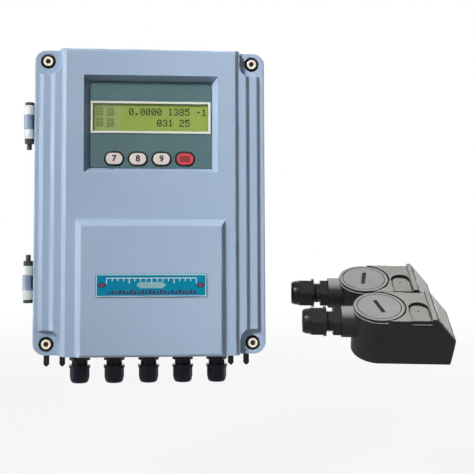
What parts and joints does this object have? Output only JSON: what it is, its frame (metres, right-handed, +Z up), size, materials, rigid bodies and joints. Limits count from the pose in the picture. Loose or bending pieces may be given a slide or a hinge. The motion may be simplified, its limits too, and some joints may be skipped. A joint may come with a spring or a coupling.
{
  "type": "ultrasonic flow meter",
  "caption": "Wall-mounted flow meter converter with a hinged lid, display window and cable glands, beside its pair of clamp-on transducers.",
  "frame": {"origin": "on the wall plane, midway between the two hanging keyholes", "axes": "+X right seen from the front, +Y into the wall, +Z up"},
  "size_m": [0.3583, 0.11, 0.279],
  "materials": {
    "board_green": "satin",
    "bracket_black": "satin",
    "brass": "satin",
    "case_paint": "satin",
    "cell_green": "gloss",
    "crystal_cream": "satin",
    "frame_white": "satin",
    "gland_black": "satin",
    "hinge_zinc": "satin",
    "housing_grey": "matte",
    "key_ivory": "satin",
    "key_red": "satin",
    "label_grey": "matte",
    "panel_sheet": "satin",
    "plate_teal": "satin",
    "potting_black": "matte",
    "screw_steel": "satin",
    "seal_rubber": "matte",
    "terminal_green": "satin",
    "wedge_amber": "satin",
    "window_clear": "gloss",
    "zinc_steel": "satin"
  },
  "bodies": {
    "converter": {"case": "case_paint", "case_gasket": "seal_rubber", "hinge_arms": "hinge_zinc", "wall_brackets": "bracket_black", "mounting_plate": "zinc_steel", "fixing_screws": "zinc_steel", "main_board": "board_green", "board_spacers": "brass", "terminal_block": "terminal_green", "power_module": "potting_black", "gland_bodies": "gland_black", "gland_seals": "seal_rubber", "gland_locknuts": "gland_black", "hinge_bolts": "zinc_steel", "hinge_nuts": "zinc_steel"},
    "gland_nut_1": {"gland_nut_1": "gland_black"},
    "gland_nut_2": {"gland_nut_2": "gland_black"},
    "gland_nut_3": {"gland_nut_3": "gland_black"},
    "gland_nut_4": {"gland_nut_4": "gland_black"},
    "gland_nut_5": {"gland_nut_5": "gland_black"},
    "lid": {"lid": "case_paint", "hinge_knuckles": "hinge_zinc", "screw_rings": "seal_rubber", "front_panel": "panel_sheet", "display_frame": "frame_white", "display_window": "window_clear", "display_cell": "cell_green", "display_module": "potting_black", "display_board": "board_green", "display_screws": "zinc_steel", "key_switches": "potting_black", "name_plate": "plate_teal"},
    "key_1": {"key_1": "key_ivory"},
    "key_2": {"key_2": "key_ivory"},
    "key_3": {"key_3": "key_ivory"},
    "key_4": {"key_4": "key_red"},
    "lid_screw_1": {"lid_screw_1": "screw_steel"},
    "lid_screw_2": {"lid_screw_2": "screw_steel"},
    "lid_screw_3": {"lid_screw_3": "screw_steel"},
    "lid_screw_4": {"lid_screw_4": "screw_steel"},
    "front_transducer": {"front_housing": "housing_grey", "front_wedge": "wedge_amber", "front_crystal": "crystal_cream", "front_terminals": "board_green", "front_gland": "gland_black", "front_label": "label_grey"},
    "front_cap_seal": {"front_cap_seal": "seal_rubber"},
    "front_cap": {"front_cap": "housing_grey"},
    "front_gland_seal": {"front_gland_seal": "seal_rubber"},
    "front_gland_nut": {"front_gland_nut": "gland_black"},
    "rear_transducer": {"rear_housing": "housing_grey", "rear_wedge": "wedge_amber", "rear_crystal": "crystal_cream", "rear_terminals": "board_green", "rear_gland": "gland_black", "rear_label": "label_grey"},
    "rear_cap_seal": {"rear_cap_seal": "seal_rubber"},
    "rear_cap": {"rear_cap": "housing_grey"},
    "rear_gland_seal": {"rear_gland_seal": "seal_rubber"},
    "rear_gland_nut": {"rear_gland_nut": "gland_black"}
  },
  "joints": [
    {"name": "gland_nut_1_turn", "type": "hinge", "parent": "converter", "child": "gland_nut_1", "pos_m": [-0.0592, -0.036, -0.2325], "axis": [0, 0, -1], "range_deg": [0, 900]},
    {"name": "gland_nut_2_turn", "type": "hinge", "parent": "converter", "child": "gland_nut_2", "pos_m": [-0.0296, -0.036, -0.2325], "axis": [0, 0, -1], "range_deg": [0, 900]},
    {"name": "gland_nut_3_turn", "type": "hinge", "parent": "converter", "child": "gland_nut_3", "pos_m": [0, -0.036, -0.2325], "axis": [0, 0, -1], "range_deg": [0, 900]},
    {"name": "gland_nut_4_turn", "type": "hinge", "parent": "converter", "child": "gland_nut_4", "pos_m": [0.0296, -0.036, -0.2325], "axis": [0, 0, -1], "range_deg": [0, 900]},
    {"name": "gland_nut_5_turn", "type": "hinge", "parent": "converter", "child": "gland_nut_5", "pos_m": [0.0592, -0.036, -0.2325], "axis": [0, 0, -1], "range_deg": [0, 900]},
    {"name": "lid_swing", "type": "hinge", "parent": "converter", "child": "lid", "pos_m": [-0.1012, -0.06, -0.029], "axis": [0, 0, -1], "range_deg": [0, 120]},
    {"name": "key_1_press", "type": "slide", "parent": "lid", "child": "key_1", "axis": [0, 1, 0], "range_m": [0, 0.0008], "stiffness_N_per_m": 600, "springref_m": -0.001},
    {"name": "key_2_press", "type": "slide", "parent": "lid", "child": "key_2", "axis": [0, 1, 0], "range_m": [0, 0.0008], "stiffness_N_per_m": 600, "springref_m": -0.001},
    {"name": "key_3_press", "type": "slide", "parent": "lid", "child": "key_3", "axis": [0, 1, 0], "range_m": [0, 0.0008], "stiffness_N_per_m": 600, "springref_m": -0.001},
    {"name": "key_4_press", "type": "slide", "parent": "lid", "child": "key_4", "axis": [0, 1, 0], "range_m": [0, 0.0008], "stiffness_N_per_m": 600, "springref_m": -0.001},
    {"name": "lid_screw_1_out", "type": "slide", "parent": "lid", "child": "lid_screw_1", "axis": [0, -1, 0], "range_m": [0, 0.006]},
    {"name": "lid_screw_2_out", "type": "slide", "parent": "lid", "child": "lid_screw_2", "axis": [0, -1, 0], "range_m": [0, 0.006]},
    {"name": "lid_screw_3_out", "type": "slide", "parent": "lid", "child": "lid_screw_3", "axis": [0, -1, 0], "range_m": [0, 0.006]},
    {"name": "lid_screw_4_out", "type": "slide", "parent": "lid", "child": "lid_screw_4", "axis": [0, -1, 0], "range_m": [0, 0.006]},
    {"name": "front_transducer_slide", "type": "slide", "parent": "converter", "child": "front_transducer", "axis": [0.9816, -0.1908, 0], "range_m": [0, 0.2]},
    {"name": "front_cap_lift", "type": "slide", "parent": "front_transducer", "child": "front_cap_seal", "axis": [-0.094, -0.4834, 0.8704], "range_m": [0, 0.0046]},
    {"name": "front_cap_turn", "type": "hinge", "parent": "front_cap_seal", "child": "front_cap", "pos_m": [0.18924, -0.08134, -0.18419], "axis": [-0.094, -0.4834, 0.8704], "range_deg": [0, 810]},
    {"name": "front_gland_seal_move", "type": "slide", "parent": "front_transducer", "child": "front_gland_seal", "axis": [-0.9816, 0.1908, 0], "range_m": [0, 0.0038]},
    {"name": "front_gland_nut_turn", "type": "hinge", "parent": "front_gland_seal", "child": "front_gland_nut", "pos_m": [0.14083, -0.0652, -0.19585], "axis": [-0.9816, 0.1908, 0], "range_deg": [0, 900]},
    {"name": "rear_transducer_slide", "type": "slide", "parent": "converter", "child": "rear_transducer", "axis": [0.9816, -0.1908, 0], "range_m": [0, 0.2]},
    {"name": "rear_cap_lift", "type": "slide", "parent": "rear_transducer", "child": "rear_cap_seal", "axis": [-0.094, -0.4834, 0.8704], "range_m": [0, 0.0046]},
    {"name": "rear_cap_turn", "type": "hinge", "parent": "rear_cap_seal", "child": "rear_cap", "pos_m": [0.18847, -0.04235, -0.16262], "axis": [-0.094, -0.4834, 0.8704], "range_deg": [0, 810]},
    {"name": "rear_gland_seal_move", "type": "slide", "parent": "rear_transducer", "child": "rear_gland_seal", "axis": [-0.9816, 0.1908, 0], "range_m": [0, 0.0038]},
    {"name": "rear_gland_nut_turn", "type": "hinge", "parent": "rear_gland_seal", "child": "rear_gland_nut", "pos_m": [0.14006, -0.02622, -0.17428], "axis": [-0.9816, 0.1908, 0], "range_deg": [0, 900]}
  ],
  "couplings": [
    {"joint": "front_cap_lift", "follows": "front_cap_turn", "m_per_rad": 0.00031831},
    {"joint": "front_gland_seal_move", "follows": "front_gland_nut_turn", "m_per_rad": 0.00023873},
    {"joint": "rear_cap_lift", "follows": "rear_cap_turn", "m_per_rad": 0.00031831},
    {"joint": "rear_gland_seal_move", "follows": "rear_gland_nut_turn", "m_per_rad": 0.00023873}
  ]
}
